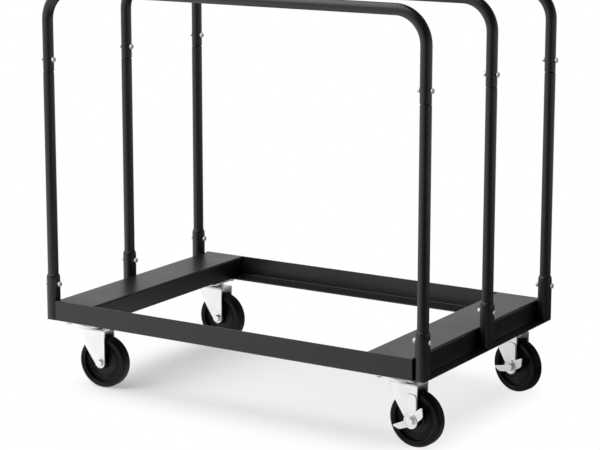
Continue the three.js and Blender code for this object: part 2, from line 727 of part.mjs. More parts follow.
// Casters, each swivelled as it stands, with brakes at the right-hand end
for (const [end, sx] of Object.entries(ends)) {
  for (const [side, sy] of Object.entries({ front: -1, rear: 1 })) {
    const place = `${side}_${end}`;
    const lean = LEVER_LEANS[place];
    const braked = lean !== undefined;
    cart.add(piece(`${place}_caster_pad`, padSolid(sx, sy), powderCoat));
    const caster = new THREE.Group();
    caster.position.set(sx * CASTER_X, sy * CASTER_Y, FRAME_Z);
    caster.add(piece(`${place}_caster_plate`, plateSolid(), zinc));
    const swivel = new THREE.Group();
    swivel.rotation.z = THREE.MathUtils.degToRad(SWIVELS[place]);
    swivel.add(piece(`${place}_fork`, forkSolid(), zinc));
    const axle = new THREE.Group();
    axle.position.set(CASTER_TRAIL, 0, AXLE_LEVEL);
    axle.add(piece(`${place}_tyre`, tyreSolid(), rubber));
    axle.add(piece(`${place}_wheel_core`, coreSolid(), plastic));
    axle.add(piece(`${place}_axle`, axleSolid(braked ? BRAKE_STACK : 0), zinc));
    if (braked) {
      axle.add(piece(`${place}_brake_leaf`, leafSolid(), zinc));
      axle.add(piece(`${place}_brake_lever`, leverSolid(lean), zinc));
    }
    swivel.add(axle);
    caster.add(swivel);
    cart.add(caster);
  }
}

export default cart;
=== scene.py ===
# %% [markdown]
# # Sheet goods cart
# A low steel frame rolls on four swivel casters, and three tall hoops stand on it, so that plywood, drywall or
# table tops ride upright between them. The measured model is loaded first and stays as it is. Most pieces made
# below take the place of a measured one, at the same spot and the same size, with rounder tubes, eased edges and
# a real finish; the ball races and the plate bolts are added beside it.

# %% Load the frame
import json
import math

import bmesh
import bpy
from mathutils import Matrix, Vector


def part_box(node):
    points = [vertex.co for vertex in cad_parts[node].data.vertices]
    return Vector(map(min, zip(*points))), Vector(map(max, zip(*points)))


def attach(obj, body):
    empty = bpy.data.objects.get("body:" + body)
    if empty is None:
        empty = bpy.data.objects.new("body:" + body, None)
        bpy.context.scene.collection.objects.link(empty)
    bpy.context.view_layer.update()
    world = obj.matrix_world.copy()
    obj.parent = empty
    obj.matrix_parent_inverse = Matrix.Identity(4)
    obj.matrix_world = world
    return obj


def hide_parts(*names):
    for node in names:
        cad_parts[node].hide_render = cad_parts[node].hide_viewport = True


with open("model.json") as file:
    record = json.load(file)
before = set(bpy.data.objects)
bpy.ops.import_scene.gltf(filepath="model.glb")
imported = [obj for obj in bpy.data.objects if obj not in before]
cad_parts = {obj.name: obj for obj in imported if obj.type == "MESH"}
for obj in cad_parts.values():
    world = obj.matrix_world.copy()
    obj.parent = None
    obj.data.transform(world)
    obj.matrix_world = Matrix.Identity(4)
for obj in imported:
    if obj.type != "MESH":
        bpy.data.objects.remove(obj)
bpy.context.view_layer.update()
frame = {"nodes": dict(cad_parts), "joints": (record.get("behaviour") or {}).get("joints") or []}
joints = {joint["name"]: joint for joint in frame["joints"]}

# %% [markdown]
# ## A way to write finishes
# A finish is a web of shader nodes. Wired by hand it takes pages, so one small class wraps an output
# socket: arithmetic on it adds Math nodes, and its node method adds anything else. The settings of a
# node are given before the values of its sockets, because some settings change which sockets exist.


# %% The socket class
class Socket:
    """An output socket. Arithmetic on it adds Math nodes to the same finish."""

    def __init__(self, tree, output=None):
        self.tree = tree
        self.output = output

    def node(self, kind, settings=None, values=None, out=0):
        made = self.tree.nodes.new("ShaderNode" + kind)
        for name, value in (settings or {}).items():
            if name == "stops":
                ramp = made.color_ramp
                while len(ramp.elements) < len(value):
                    ramp.elements.new(1.0)
                for element, (place, grey) in zip(ramp.elements, value):
                    element.position = place
                    element.color = (grey, grey, grey, 1.0)
            else:
                setattr(made, name, value)
        for name, value in (values or {}).items():
            if isinstance(value, Socket):
                self.tree.links.new(value.output, made.inputs[name])
            else:
                made.inputs[name].default_value = value
        return Socket(self.tree, made.outputs[out] if made.outputs else None)

    def math(self, operation, first, second):
        return self.node("Math", {"operation": operation}, {0: first, 1: second})

    def __add__(self, other):
        return self.math("ADD", self, other)

    def __sub__(self, other):
        return self.math("SUBTRACT", self, other)

    def __rsub__(self, other):
        return self.math("SUBTRACT", other, self)

    def __mul__(self, other):
        return self.math("MULTIPLY", self, other)

    __radd__ = __add__
    __rmul__ = __mul__


def new_finish(name):
    """An empty material and a socket to start writing its nodes from."""
    material = bpy.data.materials.new(name)
    material.use_nodes = True
    material.node_tree.nodes.clear()
    return material, Socket(material.node_tree)


def clouds(start, scale, detail=2.0, stretch=(1.0, 1.0, 1.0)):
    """Noise on the piece's own coordinates, with this many lumps in a metre."""
    place = start.node("TexCoord", out="Object")
    place = place.node("Mapping", {}, {"Vector": place, "Scale": stretch})
    return place.node("TexNoise", {}, {"Vector": place, "Scale": scale, "Detail": detail})


def blend(start, factor, first, second):
    """A mix of two colours by a factor from 0 to 1."""
    settings = {"data_type": "RGBA"}
    return start.node("Mix", settings, {0: factor, 6: first, 7: second}, out=2)


def grey(level, warm=0.0):
    return (level * (1 + warm), level, level * (1 - warm), 1.0)


print("finishes can be written")

# %% [markdown]
# ## Black powder coat
# The frame, sockets and tubes are sprayed with dry powder and baked. The film flows out to a satin
# skin with a very fine orange peel, a little cloudier in some places than in others. A nearly black
# base with a medium gloss gives the look, and two sizes of noise give the peel and the clouds.

# %% Powder coat
COAT_DARK = grey(0.006, -0.02)
COAT_LIGHT = grey(0.01, -0.02)
PEEL_PER_METRE = 900.0
CLOUDS_PER_METRE = 7.0

powder_coat, start = new_finish("black_powder_coat")
peel = clouds(start, PEEL_PER_METRE, 3.0)
cloudy = clouds(start, CLOUDS_PER_METRE, 4.0)
speck = clouds(start, 2400.0, 1.0)
bump = start.node("Bump", {}, {"Strength": 0.12, "Distance": 0.0002, "Height": peel})
skin = start.node("BsdfPrincipled", {}, {
    "Base Color": blend(start, 0.7 * cloudy + 0.3 * speck, COAT_DARK, COAT_LIGHT),
    "Roughness": 0.28 + 0.12 * cloudy + 0.04 * peel,
    "Normal": bump,
    "IOR": 1.5,
})
start.node("OutputMaterial", {}, {"Surface": skin})
print("powder coat:", len(powder_coat.node_tree.nodes), "nodes")

# %% [markdown]
# ## Bright zinc
# Forks, plates, bolts and brakes are pressed steel with a bright zinc plate: a white, slightly blue
# metal with a soft sheen. Plating runs a little milky in patches, and the rolled sheet below it
# leaves fine scratches along one direction, so a stretched noise is added to the roughness.

# %% Zinc plate
ZINC_BRIGHT = (0.93, 0.935, 0.94, 1.0)
ZINC_MILKY = (0.82, 0.825, 0.83, 1.0)

zinc_plate, start = new_finish("bright_zinc_plate")
milk = clouds(start, 28.0, 4.0)
grain = clouds(start, 220.0, 2.0, (1.0, 1.0, 14.0))
bump = start.node("Bump", {}, {"Strength": 0.06, "Distance": 0.0002, "Height": grain})
metal = start.node("BsdfPrincipled", {}, {
    "Base Color": blend(start, milk, ZINC_BRIGHT, ZINC_MILKY),
    "Metallic": 1.0,
    "Roughness": 0.3 + 0.12 * milk + 0.08 * grain,
    "Normal": bump,
})
start.node("OutputMaterial", {}, {"Surface": metal})
print("zinc plate:", len(zinc_plate.node_tree.nodes), "nodes")

# %% [markdown]
# ## Dull zinc for the fasteners
# Small bolts are plated in a barrel, where they tumble against each other. They come out greyer and
# less even than a plated pressing, with the same blue-white metal.

# %% Barrel zinc
barrel_zinc, start = new_finish("barrel_zinc")
tumbled = clouds(start, 160.0, 4.0)
pits = clouds(start, 1300.0, 2.0)
bump = start.node("Bump", {}, {"Strength": 0.15, "Distance": 0.0002, "Height": pits})
metal = start.node("BsdfPrincipled", {}, {
    "Base Color": blend(start, tumbled, grey(0.86), grey(0.7)),
    "Metallic": 0.45,
    "Roughness": 0.5 + 0.16 * tumbled,
    "Normal": bump,
})
start.node("OutputMaterial", {}, {"Surface": metal})
print("barrel zinc:", len(barrel_zinc.node_tree.nodes), "nodes")

# %% [markdown]
# ## Rubber and moulded plastic
# The tyres are dense black rubber, dull with a faint bloom, and the wheel cores are black plastic
# with the slight gloss of a moulding tool. Both are dark enough to need their roughness for shape.

# %% Tyre rubber and wheel plastic
def rubber_finish(name, roughness, shine):
    """Black rubber with a cloudy bloom and fine pores."""
    material, start = new_finish(name)
    bloom = clouds(start, 45.0, 5.0)
    pores = clouds(start, 1500.0, 2.0)
    bump = start.node("Bump", {}, {"Strength": 0.15, "Distance": 0.0002, "Height": pores})
    rubber = start.node("BsdfPrincipled", {}, {
        "Base Color": blend(start, bloom, grey(0.002), grey(0.004)),
        "Roughness": roughness + 0.2 * bloom,
        "Specular IOR Level": shine,
        "Normal": bump,
    })
    start.node("OutputMaterial", {}, {"Surface": rubber})
    return material


tyre_rubber = rubber_finish("tyre_rubber", 0.28, 0.2)
tread_rubber = rubber_finish("tread_rubber", 0.4, 0.12)

wheel_plastic, start = new_finish("moulded_wheel_plastic")
flow = clouds(start, 30.0, 3.0)
spark = clouds(start, 1100.0, 2.0)
bump = start.node("Bump", {}, {"Strength": 0.1, "Distance": 0.0002, "Height": spark})
plastic = start.node("BsdfPrincipled", {}, {
    "Base Color": blend(start, flow, grey(0.002), grey(0.004)),
    "Roughness": 0.26 + 0.16 * flow,
    "Specular IOR Level": 0.26,
    "Normal": bump,
})
start.node("OutputMaterial", {}, {"Surface": plastic})
print("tyre rubber and wheel plastic are ready")

# %% [markdown]
# ## A way to make pieces
# Shapes are drawn in millimetres round their own middle with mesh operators, then moved to their
# place, so the object itself stays at the origin. Faces that meet at a soft angle are shaded smooth,
# and a weighted normal keeps the wide flat faces flat beside their small rounded edges.

# %% Shaping helpers
METRES = Matrix.Scale(0.001, 4)
ROUND = 40
MERGE = 1e-4
SLIVER = 1e-3


def moved(x=0.0, y=0.0, z=0.0):
    return Matrix.Translation((x, y, z))


def turned(profile, closed=False, steps=ROUND):
    """A profile of (radius, height) points spun about Z. A closed profile makes a ring."""
    bm = bmesh.new()
    verts = [bm.verts.new((radius, 0.0, height)) for radius, height in profile]
    wire = [bm.edges.new(pair) for pair in zip(verts, verts[1:])]
    if closed:
        wire.append(bm.edges.new((verts[-1], verts[0])))
    bmesh.ops.spin(
        bm, geom=verts + wire, cent=(0, 0, 0), axis=(0, 0, 1), angle=math.tau, steps=steps,
        use_merge=True,
    )
    bmesh.ops.remove_doubles(bm, verts=bm.verts, dist=MERGE)
    bmesh.ops.recalc_face_normals(bm, faces=bm.faces)
    return bm


def soften(bm, radius, segments=2, sharper=40.0, where=None):
    """Round the edges that are sharper than an angle, everywhere or only where asked."""
    edges = [
        edge for edge in bm.edges
        if edge.is_manifold and edge.calc_face_angle() > math.radians(sharper)
        and (where is None or where(edge))
    ]
    bmesh.ops.bevel(
        bm, geom=edges, offset=radius, offset_type="OFFSET", segments=segments, profile=0.5,
        affect="EDGES", material=-1, clamp_overlap=True,
    )


def joined(*shapes):
    """Several closed shapes in one mesh."""
    whole = shapes[0]
    for shape in shapes[1:]:
        carrier = bpy.data.meshes.new("carrier")
        shape.to_mesh(carrier)
        shape.free()
        whole.from_mesh(carrier)
        bpy.data.meshes.remove(carrier)
    return whole


def placed(bm, matrix):
    bmesh.ops.transform(bm, matrix=matrix, verts=bm.verts)
    return bm


def punched(bm, *punches):
    """A shape with holes cut by other closed shapes: a Boolean modifier, applied at once."""
    carriers = []
    for shape in (bm, joined(*punches)):
        mesh = bpy.data.meshes.new("carrier")
        shape.to_mesh(mesh)
        shape.free()
        carriers.append(bpy.data.objects.new("carrier", mesh))
        bpy.context.scene.collection.objects.link(carriers[-1])
    cut = carriers[0].modifiers.new("holes", "BOOLEAN")
    cut.operation = "DIFFERENCE"
    cut.solver = "EXACT"
    cut.object = carriers[1]
    whole = bmesh.new()
    whole.from_object(carriers[0], bpy.context.evaluated_depsgraph_get())
    for carrier in carriers:
        bpy.data.meshes.remove(carrier.data)
    bmesh.ops.triangulate(whole, faces=[face for face in whole.faces if len(face.verts) > 4])
    return whole


def punch(radius, reach, at):
    """A round punch along its own Z, laid where the hole goes."""
    bm = bmesh.new()
    bmesh.ops.create_cone(
        bm, cap_ends=True, segments=ROUND, radius1=radius, radius2=radius, depth=2 * reach, matrix=at,
    )
    return bm


def piece(bm, name, finish, body, stands_for=(), at=None, smooth=38.0):
    """Write a shape out as an object at the origin that rides on a body."""
    bmesh.ops.dissolve_degenerate(bm, dist=SLIVER, edges=bm.edges)
    placed(bm, METRES @ (at or Matrix()))
    bmesh.ops.recalc_face_normals(bm, faces=bm.faces)
    mesh = bpy.data.meshes.new(name)
    bm.to_mesh(mesh)
    bm.free()
    mesh.materials.append(finish)
    mesh.shade_smooth()
    mesh.set_sharp_from_angle(angle=math.radians(smooth))
    made = bpy.data.objects.new(name, mesh)
    bpy.context.scene.collection.objects.link(made)
    flat = made.modifiers.new("flat faces", "WEIGHTED_NORMAL")
    flat.weight = 100
    flat.keep_sharp = True
    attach(made, body)
    if stands_for:
        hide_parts(*stands_for)
    return made


def millimetres(node):
    """The low and high corner of a measured piece, in millimetres."""
    low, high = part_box(node)
    return low * 1000, high * 1000


print("helpers are ready")

# %% [markdown]
# ## Rails and end decks
# The base is folded from sheet: two angle rails along the sides, and at each end a deck that turns
# down inside, and outside turns down and out again into a ledge. The measured shapes are already
# right, so each is copied, its loose triangles are merged into clean faces, and the cut edges are
# eased the way a coat of powder rounds them.

# %% Base frame
EASE = 0.45
FLAT = math.radians(0.5)


def eased_copy(node, ease=EASE):
    bm = bmesh.new()
    bm.from_mesh(frame["nodes"][node].data)
    placed(bm, METRES.inverted())
    bmesh.ops.remove_doubles(bm, verts=bm.verts, dist=MERGE)
    bmesh.ops.dissolve_limit(bm, angle_limit=FLAT, verts=bm.verts, edges=bm.edges)
    soften(bm, ease)
    return bm


sheet_pieces = ["front_rail", "rear_rail", "left_deck", "right_deck"]
sheet_pieces += [node for node in frame["nodes"] if node.endswith("caster_pad")]
for node in sheet_pieces:
    piece(eased_copy(node), f"{node}_sheet", powder_coat, "frame", [node])
print("sheet pieces:", len(sheet_pieces))

# %% [markdown]
# ## Sockets and legs
# Short pipes stand on the ledges against the end webs, with the top rim rolled in. A straight leg
# drops into each, and its upper end is drawn down to a neck that plugs into the hoop above. Both are
# round all the way, so a profile is spun about the post.

# %% Sockets and legs
TUBE = 13.35
TUBE_BORE = 11.05
SOCKET_BORE = 13.9
SOCKET = 16.7
NECK = 10.75
NECK_BORE = 8.45
BOLT_HOLE = 3.5
ACROSS = Matrix.Rotation(math.pi / 2, 4, "Y")
SEAM_STEP = 1.4
SEAM_TAPER = 5.0
RIM_ROLL = [(0.0, 9.0), (0.15, 6.6), (0.5, 4.4), (1.1, 2.4), (1.9, 0.8), (2.8, 0.0)]
rows = ("front", "middle", "rear")
ends = ("left", "right")
seam = millimetres("front_hoop")[0].z


def post_middle(row, end):
    low, high = millimetres(f"{row}_{end}_socket")
    return moved((low.x + high.x) / 2, (low.y + high.y) / 2)


def bolt_hole(bolt, x=0.0):
    """A punch across a tube at the height of one of its bolts."""
    low, high = millimetres(bolt)
    return punch(BOLT_HOLE, 2 * TUBE, moved(x, 0, (low.z + high.z) / 2) @ ACROSS)


for row in rows:
    for end in ends:
        node = f"{row}_{end}_socket"
        low, high = millimetres(node)
        rim = [(SOCKET - inward, high.z - below) for inward, below in RIM_ROLL]
        socket = turned([
            (SOCKET_BORE, low.z), (SOCKET - 1, low.z), (SOCKET, low.z + 1), *rim, (SOCKET_BORE, high.z),
        ], closed=True)
        socket = punched(socket, bolt_hole(f"{row}_{end}_socket_bolt"))
        piece(socket, f"{node}_pipe", powder_coat, "frame", [node], post_middle(row, end))
        node = f"{row}_{end}_leg"
        low, high = millimetres(node)
        leg = turned([
            (TUBE_BORE, low.z), (TUBE, low.z), (TUBE, seam - SEAM_TAPER), (TUBE - SEAM_STEP, seam - 0.3),
            (NECK, seam - 0.3), (NECK, high.z), (NECK_BORE, high.z), (NECK_BORE, seam - SEAM_TAPER),
            (TUBE_BORE, seam - 3 * SEAM_TAPER),
        ], closed=True)
        bolts = [f"{row}_{end}_{place}_bolt" for place in ("socket", "hoop")]
        leg = punched(leg, *[bolt_hole(bolt) for bolt in bolts])
        piece(leg, f"{node}_tube", powder_coat, "frame", [node], post_middle(row, end))
print("posts:", len(rows) * len(ends), "seam at", round(seam, 1), "mm")

# %% [markdown]
# ## Hoops
# Each hoop is one tube bent twice. A ring of points is drawn out straight up from the seam, spun
# through a quarter turn, drawn across, spun again and drawn down. That is how a tube bender works,
# and it keeps the tube the same thickness round the bends.

# %% Hoops
HOOP_BEND = 75.0
BEND_STEPS = 14


def ends_of(made):
    """The edges of the newest ring of an extrusion or a spin."""
    verts = {item for item in made if isinstance(item, bmesh.types.BMVert)}
    return [
        item for item in made
        if isinstance(item, bmesh.types.BMEdge) and set(item.verts) <= verts
    ]


def drawn_out(bm, ring, along):
    made = bmesh.ops.extrude_edge_only(bm, edges=ring)["geom"]
    verts = [item for item in made if isinstance(item, bmesh.types.BMVert)]
    bmesh.ops.translate(bm, verts=verts, vec=along)
    return ends_of(made)


def bent(bm, ring, about, steps):
    made = bmesh.ops.spin(
        bm, geom=ring, cent=about, axis=(0, 1, 0), angle=math.pi / 2, steps=steps, use_merge=False,
    )["geom_last"]
    return ends_of(made)


def hoop_tube(reach, bottom, bar):
    bm = bmesh.new()
    bmesh.ops.create_circle(bm, segments=ROUND, radius=TUBE, matrix=moved(-reach, 0, bottom))
    ring = list(bm.edges)
    shoulder = bar - HOOP_BEND
    ring = drawn_out(bm, ring, (0, 0, shoulder - bottom))
    ring = bent(bm, ring, (HOOP_BEND - reach, 0, shoulder), BEND_STEPS)
    ring = drawn_out(bm, ring, (2 * (reach - HOOP_BEND), 0, 0))
    ring = bent(bm, ring, (reach - HOOP_BEND, 0, shoulder), BEND_STEPS)
    drawn_out(bm, ring, (0, 0, bottom - shoulder))
    bmesh.ops.remove_doubles(bm, verts=bm.verts, dist=MERGE)
    bmesh.ops.recalc_face_normals(bm, faces=bm.faces)
    if max(bm.faces, key=lambda face: face.calc_center_median().z).normal.z < 0:
        bmesh.ops.reverse_faces(bm, faces=bm.faces)
    bmesh.ops.solidify(bm, geom=list(bm.faces), thickness=TUBE - TUBE_BORE)
    bmesh.ops.recalc_face_normals(bm, faces=bm.faces)
    soften(bm, 0.5)
    return bm


for row in rows:
    node = f"{row}_hoop"
    low, high = millimetres(node)
    reach = high.x - TUBE
    tube = hoop_tube(reach, low.z, high.z - TUBE)
    bolt = f"{row}_left_hoop_bolt"
    tube = punched(tube, bolt_hole(bolt, -reach), bolt_hole(bolt, reach))
    piece(tube, f"{node}_tube", powder_coat, "frame", [node],
          moved(y=(low.y + high.y) / 2))
print("hoops:", len(rows))

# %% [markdown]
# ## Bolts and nuts
# A hex head is a six-sided disc with its rim taken down on both faces, and the bolt's end stands out
# of its nut with the thread showing. The heads and nuts start as circles of six points, and the
# thread is a zigzag profile that is spun.

# %% Hex bolts
THREAD_DEPTH = 0.09


def hexagon(flats, height, bottom=0.0):
    bm = bmesh.new()
    bmesh.ops.create_circle(
        bm, cap_ends=True, segments=6, radius=flats / math.sqrt(3), matrix=moved(z=bottom),
    )
    top = bmesh.ops.extrude_face_region(bm, geom=list(bm.faces))["geom"]
    verts = [item for item in top if isinstance(item, bmesh.types.BMVert)]
    bmesh.ops.translate(bm, verts=verts, vec=(0, 0, height))
    bmesh.ops.recalc_face_normals(bm, faces=bm.faces)
    soften(bm, flats * 0.055, 2)
    return bm


def thread(diameter, pitch, bottom, top):
    """A threaded end that stands from bottom to top, closed with a small chamfer."""
    outer = diameter / 2
    root = outer * (1 - 2 * THREAD_DEPTH)
    count = max(1, int((top - bottom - pitch) / pitch))
    profile = [(0, bottom), (root, bottom)]
    for turn in range(count):
        level = bottom + pitch * (turn + 0.5)
        profile += [(outer, level), (root, level + pitch / 2)]
    profile += [(root, top - pitch / 4), (root - pitch / 4, top), (0, top)]
    return turned(profile, steps=24)


def disc(radius, bottom, top, ease=0.3):
    bm = turned([(0, bottom), (radius, bottom), (radius, top), (0, top)])
    soften(bm, ease)
    return bm


def through_bolt(seat, diameter, flats, head, nut, tail, pitch, stack=0.0):
    """A bolt along Z with its head on top, made from head, shank, nut and threaded end."""
    return joined(
        hexagon(flats, head, seat + stack),
        disc(diameter / 2, -seat - nut / 2, seat + stack + head / 2, 0.05),
        hexagon(flats, nut, -seat - nut),
        placed(thread(diameter, pitch, seat + nut / 2, seat + nut + tail), Matrix.Rotation(math.pi, 4, "X")),
    )


BOLT = {"diameter": 6.4, "flats": 11.1, "head": 4.3, "nut": 5.6, "tail": 1.6, "pitch": 1.0}
BOLT_SEATS = {"socket": SOCKET + 0.3, "hoop": TUBE + 0.3}
for row in rows:
    for end in ends:
        for place, seat in BOLT_SEATS.items():
            node = f"{row}_{end}_{place}_bolt"
            low, high = millimetres(node)
            lie = Matrix.Rotation(math.pi / 2 if end == "right" else -math.pi / 2, 4, "Y")
            at = post_middle(row, end) @ moved(z=(low.z + high.z) / 2) @ lie
            piece(through_bolt(seat, **BOLT), f"{node}_set", barrel_zinc, "frame", [node], at)
print("through-bolts:", len(rows) * len(ends) * len(BOLT_SEATS))

# %% [markdown]
# ## Where each caster stands
# The four casters are alike, so each is drawn once about its own kingpin: x along its trail, y along
# its axle, z up, with the plate's upper face at zero. The joints of the measured model say where the
# kingpin stands and which way the axle points, and that gives one matrix for each caster.

# %% Caster places
casters = {}
for side in ("front", "rear"):
    for end in ends:
        corner = f"{side}_{end}"
        pin = Vector(joints[f"{corner}_swivel"]["pos_m"]) * 1000
        axle = Vector(joints[f"{corner}_roll"]["pos_m"]) * 1000
        across = Vector(joints[f"{corner}_roll"]["axis"]).normalized()
        along = Vector((across.y, -across.x, 0))
        turn = Matrix((along, across, (0, 0, 1))).transposed().to_4x4()
        casters[corner] = {
            "plate": Matrix.Translation(pin),
            "fork": Matrix.Translation(pin) @ turn,
            "axle": Matrix.Translation(axle) @ turn,
            "braked": end == "right",
        }
trail = (axle.xy - pin.xy).length
axle_drop = axle.z - pin.z
print("casters:", len(casters), "trail", round(trail, 1), "axle", round(axle_drop, 1), "mm below the plate")

# %% [markdown]
# ## Caster plates
# A zinc plate with four slots bolts under the frame, and the upper ball race and the kingpin are
# pressed into it. The plate's outline is a square with its corners bevelled round, the slots are
# circles pulled long, and filling between the loops leaves the holes open.

# %% Plates, races and kingpins
PLATE = (114.0, 102.0, 5.0)
PLATE_CORNER = 9.0
SLOT_AT = (41.0, 36.0)
SLOT_HALF = 4.75
SLOT_PULL = 3.25
RACE = 31.0
RACE_BOTTOM = -12.0
PIN = 9.0
PIN_HEAD = 13.5
CROWN_TOP = -20.6
SHEET = 4.0


def slotted_plate():
    length, width, thick = PLATE
    bm = bmesh.new()
    bmesh.ops.create_grid(bm, x_segments=1, y_segments=1, size=0.5)
    bmesh.ops.scale(bm, vec=(length, width, 1), verts=bm.verts)
    bmesh.ops.bevel(
        bm, geom=list(bm.verts), offset=PLATE_CORNER, offset_type="OFFSET", segments=6, profile=0.5,
        affect="VERTICES", material=-1,
    )
    bmesh.ops.delete(bm, geom=list(bm.faces), context="FACES_ONLY")
    for x in (-SLOT_AT[0], SLOT_AT[0]):
        for y in (-SLOT_AT[1], SLOT_AT[1]):
            ring = bmesh.ops.create_circle(bm, segments=20, radius=SLOT_HALF)["verts"]
            for vert in ring:
                vert.co.x += math.copysign(SLOT_PULL, vert.co.x)
            bmesh.ops.translate(bm, verts=ring, vec=(x, y, 0))
    bmesh.ops.triangle_fill(bm, edges=list(bm.edges), use_beauty=True)
    made = bmesh.ops.extrude_face_region(bm, geom=list(bm.faces))["geom"]
    verts = [item for item in made if isinstance(item, bmesh.types.BMVert)]
    bmesh.ops.translate(bm, verts=verts, vec=(0, 0, -thick))
    bmesh.ops.recalc_face_normals(bm, faces=bm.faces)
    return bm


def swivel_race():
    """The pressed upper race and the riveted kingpin below it."""
    head = CROWN_TOP - SHEET - 0.4
    race = turned([(0, -4.5), (RACE - 3, -4.5), (RACE, -7), (RACE, RACE_BOTTOM), (0, RACE_BOTTOM)])
    soften(race, 1.6, 4)
    pin = turned([
        (0, RACE_BOTTOM + 1), (PIN, RACE_BOTTOM + 1), (PIN, head), (PIN_HEAD, head),
        (PIN_HEAD - 3, head - 4.2), (PIN_HEAD - 7, head - 5), (0, head - 5),
    ])
    soften(pin, 0.6)
    return joined(race, pin)


for corner, at in casters.items():
    node = f"{corner}_caster_plate"
    piece(slotted_plate(), f"{node}_top", zinc_plate, "frame", [node], at["plate"])
    piece(swivel_race(), f"{node}_race", zinc_plate, "frame", (), at["plate"])
print("caster plates:", len(casters))

# %% [markdown]
# ## Plate bolts
# Four short bolts hold each plate up to the rail and the pad, with their heads below and their nuts
# above the flange. They are small fasteners, so they belong to the finish and not to the measured
# model.

# %% Plate bolts
PLATE_BOLT = {"diameter": 8.0, "flats": 13.0, "head": 5.0, "nut": 6.0, "tail": 3.0, "pitch": 1.25}
FLANGE = 3.0
WASHER = 9.0


def plate_bolt():
    head_down = Matrix.Rotation(math.pi, 4, "X")
    middle = (FLANGE - PLATE[2]) / 2
    seat = (FLANGE + PLATE[2]) / 2 + 0.1
    washer = disc(WASHER, -PLATE[2] - 1.6, -PLATE[2] - 0.05)
    bolt = placed(through_bolt(seat, stack=1.6, **PLATE_BOLT), moved(z=middle) @ head_down)
    return joined(bolt, washer)


count = 0
for corner, at in casters.items():
    for number, (x, y) in enumerate([(-1, -1), (1, -1), (1, 1), (-1, 1)]):
        place = at["plate"] @ moved(x * SLOT_AT[0], y * SLOT_AT[1])
        piece(plate_bolt(), f"{corner}_plate_bolt_{number}", barrel_zinc, "frame", (), place)
        count += 1
print("plate bolts:", count)

# %% [markdown]
# ## Forks
# A caster fork is one pressing: a crown with a round nose whose sides fold down into two legs. The
# nose is half of a stretched circle, its edge is drawn down into a wall, the fold is rounded, and the
# legs are cut to shape by planes: one slanted cut in front, then a fan of cuts round each foot. The
# sheet gets its thickness last, so inside and outside stay parallel.

# %% Forks
FORK_HALF = 24.0
FORK_FRONT = 35.5
NOSE_START = 8.0
FOLD = 4.0
LEG_END = 13.0
SKIRT = (-29.5, -28.6)
FOOT_CUTS = 12
PIN_HOLE = 9.4
AXLE_HOLE = 6.6
ALONG_Y = Matrix.Rotation(math.pi / 2, 4, "X")


def cut_away(bm, level, point, normal):
    """Cut with a plane below a level only, and drop what lies on the normal's side."""
    faces = [face for face in bm.faces if max(v.co.z for v in face.verts) < level + 0.01]
    geom = set(faces)
    for face in faces:
        geom.update(face.edges)
        geom.update(face.verts)
    bmesh.ops.bisect_plane(
        bm, geom=list(geom), dist=1e-5, plane_co=point, plane_no=normal, clear_outer=True,
    )


def fork_pressing():
    bm = bmesh.new()
    bmesh.ops.create_circle(bm, cap_ends=True, segments=64, radius=FORK_HALF)
    bmesh.ops.scale(bm, vec=((FORK_FRONT + NOSE_START) / FORK_HALF, 1, 1), verts=bm.verts)
    bmesh.ops.translate(bm, verts=bm.verts, vec=(NOSE_START, 0, CROWN_TOP))
    bmesh.ops.bisect_plane(
        bm, geom=bm.verts[:] + bm.edges[:] + bm.faces[:], dist=1e-5,
        plane_co=(NOSE_START, 0, 0), plane_no=(1, 0, 0), clear_outer=True,
    )
    back = [edge for edge in bm.edges if all(v.co.x > NOSE_START - 0.01 for v in edge.verts)]
    drawn_out(bm, back, (trail + LEG_END - NOSE_START, 0, 0))
    rim = [
        edge for edge in bm.edges
        if edge.is_boundary and not all(v.co.x > trail + LEG_END - 0.01 for v in edge.verts)
    ]
    drawn_out(bm, rim, (0, 0, axle_drop - LEG_END - CROWN_TOP))
    bmesh.ops.recalc_face_normals(bm, faces=bm.faces)
    fold = [
        edge for edge in bm.edges
        if edge.is_manifold and all(abs(v.co.z - CROWN_TOP) < 0.01 for v in edge.verts)
        and edge.calc_face_angle() > 1.0
    ]
    bmesh.ops.bevel(
        bm, geom=fold, offset=FOLD, offset_type="OFFSET", segments=6, profile=0.5, affect="EDGES",
        material=-1,
    )
    bmesh.ops.bisect_plane(
        bm, geom=bm.verts[:] + bm.edges[:] + bm.faces[:], dist=1e-5,
        plane_co=(0, 0, SKIRT[1]), plane_no=(0, 0, 1),
    )
    reach = Vector((SKIRT[0] - trail, SKIRT[1] - axle_drop))
    first = math.atan2(reach.y, reach.x) + math.acos(LEG_END / reach.length)
    for step in range(FOOT_CUTS + 1):
        angle = first + (math.tau - first) * step / FOOT_CUTS
        out = Vector((math.cos(angle), 0, math.sin(angle)))
        cut_away(bm, SKIRT[1], Vector((trail, 0, axle_drop)) + out * LEG_END, out)
    bmesh.ops.recalc_face_normals(bm, faces=bm.faces)
    crown = max(bm.faces, key=lambda face: face.calc_area() * (face.calc_center_median().z > CROWN_TOP - 1))
    if crown.normal.z < 0:
        bmesh.ops.reverse_faces(bm, faces=bm.faces)
    bmesh.ops.solidify(bm, geom=list(bm.faces), thickness=SHEET)
    bmesh.ops.recalc_face_normals(bm, faces=bm.faces)
    soften(bm, 0.7, 2, 55.0)
    pin_hole = punch(PIN_HOLE, 2 * SHEET, moved(z=CROWN_TOP - SHEET / 2))
    return punched(bm, pin_hole, punch(AXLE_HOLE, 2 * FORK_HALF, moved(trail, 0, axle_drop) @ ALONG_Y))


def lower_race():
    """The flared cup that stands on the crown and holds the balls."""
    cup = turned([
        (15, CROWN_TOP - 1), (20, CROWN_TOP - 1), (34, CROWN_TOP + 3), (34, CROWN_TOP + 8.2),
        (31.5, CROWN_TOP + 8.2), (15, CROWN_TOP + 7.0),
    ], closed=True)
    soften(cup, 1.2, 3)
    return cup


